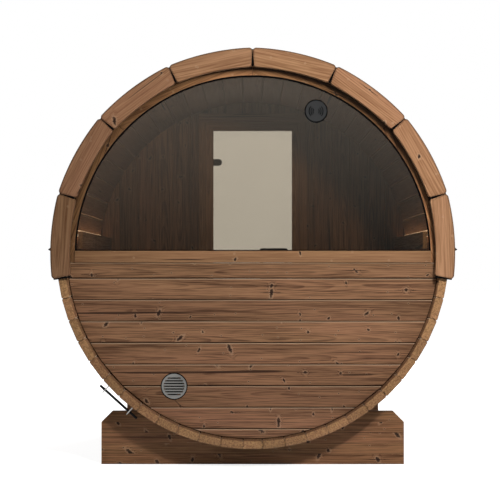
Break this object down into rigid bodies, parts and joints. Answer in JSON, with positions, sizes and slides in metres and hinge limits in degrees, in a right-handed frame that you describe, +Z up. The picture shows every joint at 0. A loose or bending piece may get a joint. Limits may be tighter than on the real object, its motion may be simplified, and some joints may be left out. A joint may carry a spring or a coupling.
{
  "type": "barrel sauna",
  "caption": "Lying barrel sauna of wooden staves on two cradles, with a half-moon window at one end and a hinged glass door at the other.",
  "frame": {"origin": "on the ground under the middle of the barrel", "axes": "+Z up, +Y along the barrel from the window end to the door end, +X to the right when looking at the window end"},
  "size_m": [2.086, 2.284, 2.151],
  "materials": {
    "stave_wood": "oiled heat-treated softwood",
    "arch_wood": "oiled heat-treated softwood, planed faces",
    "cradle_wood": "oiled heat-treated softwood",
    "wall_wood": "oiled heat-treated softwood, knotty",
    "frame_wood": "oiled heat-treated softwood, planed",
    "bench_wood": "untreated heat-treated softwood",
    "tinted_glass": "bronze tinted, clear",
    "door_glass": "lightly tinted, clear",
    "seal_rubber": "matte black",
    "vent_plastic": "matte black",
    "grille_metal": "satin grey",
    "band_steel": "dull steel strip",
    "rod_steel": "dark threaded rod",
    "roof_shingle": "black bitumen shingle with mineral grit",
    "drip_metal": "matte black sheet",
    "black_metal": "matte black",
    "light_diffuser": "warm translucent strip"
  },
  "bodies": {
    "shell": {"arch_door_end_left": "arch_wood", "arch_door_end_right": "arch_wood", "arch_window_end_left": "arch_wood", "arch_window_end_right": "arch_wood", "backrest_left": "bench_wood", "backrest_right": "bench_wood", "band_door_end": "band_steel", "band_middle": "band_steel", "band_window_end": "band_steel", "cradle_door_end": "cradle_wood", "cradle_window_end": "cradle_wood", "door_casing_inside": "frame_wood", "door_casing_outside": "frame_wood", "door_frame": "frame_wood", "door_wall_left": "wall_wood", "door_wall_over": "wall_wood", "door_wall_right": "wall_wood", "door_wall_under": "wall_wood", "drip_edge_left": "drip_metal", "drip_edge_right": "drip_metal", "floor_boards": "bench_wood", "floor_joists": "bench_wood", "frame_hinges": "black_metal", "light_strips": "light_diffuser", "roof_left": "roof_shingle", "roof_right": "roof_shingle", "staves_bottom": "stave_wood", "staves_left": "stave_wood", "staves_lower_left": "stave_wood", "staves_lower_right": "stave_wood", "staves_right": "stave_wood", "staves_top_left": "stave_wood", "staves_top_right": "stave_wood", "staves_upper_left": "stave_wood", "staves_upper_right": "stave_wood", "tensioner_rods": "rod_steel", "wall_vent_grille": "grille_metal", "window_frame": "frame_wood", "window_glass": "tinted_glass", "window_seal": "seal_rubber", "window_sill": "frame_wood", "window_vent": "vent_plastic", "window_wall_boards": "wall_wood"},
    "door": {"door_glass": "door_glass", "door_hinges": "black_metal", "door_handle": "black_metal"}
  },
  "joints": [
    {"name": "door_hinge", "type": "hinge", "parent": "shell", "child": "door", "pos_m": [-0.266, 0.7175, 1.096], "axis": [0, 0, 1], "range_deg": [0, 100]}
  ]
}
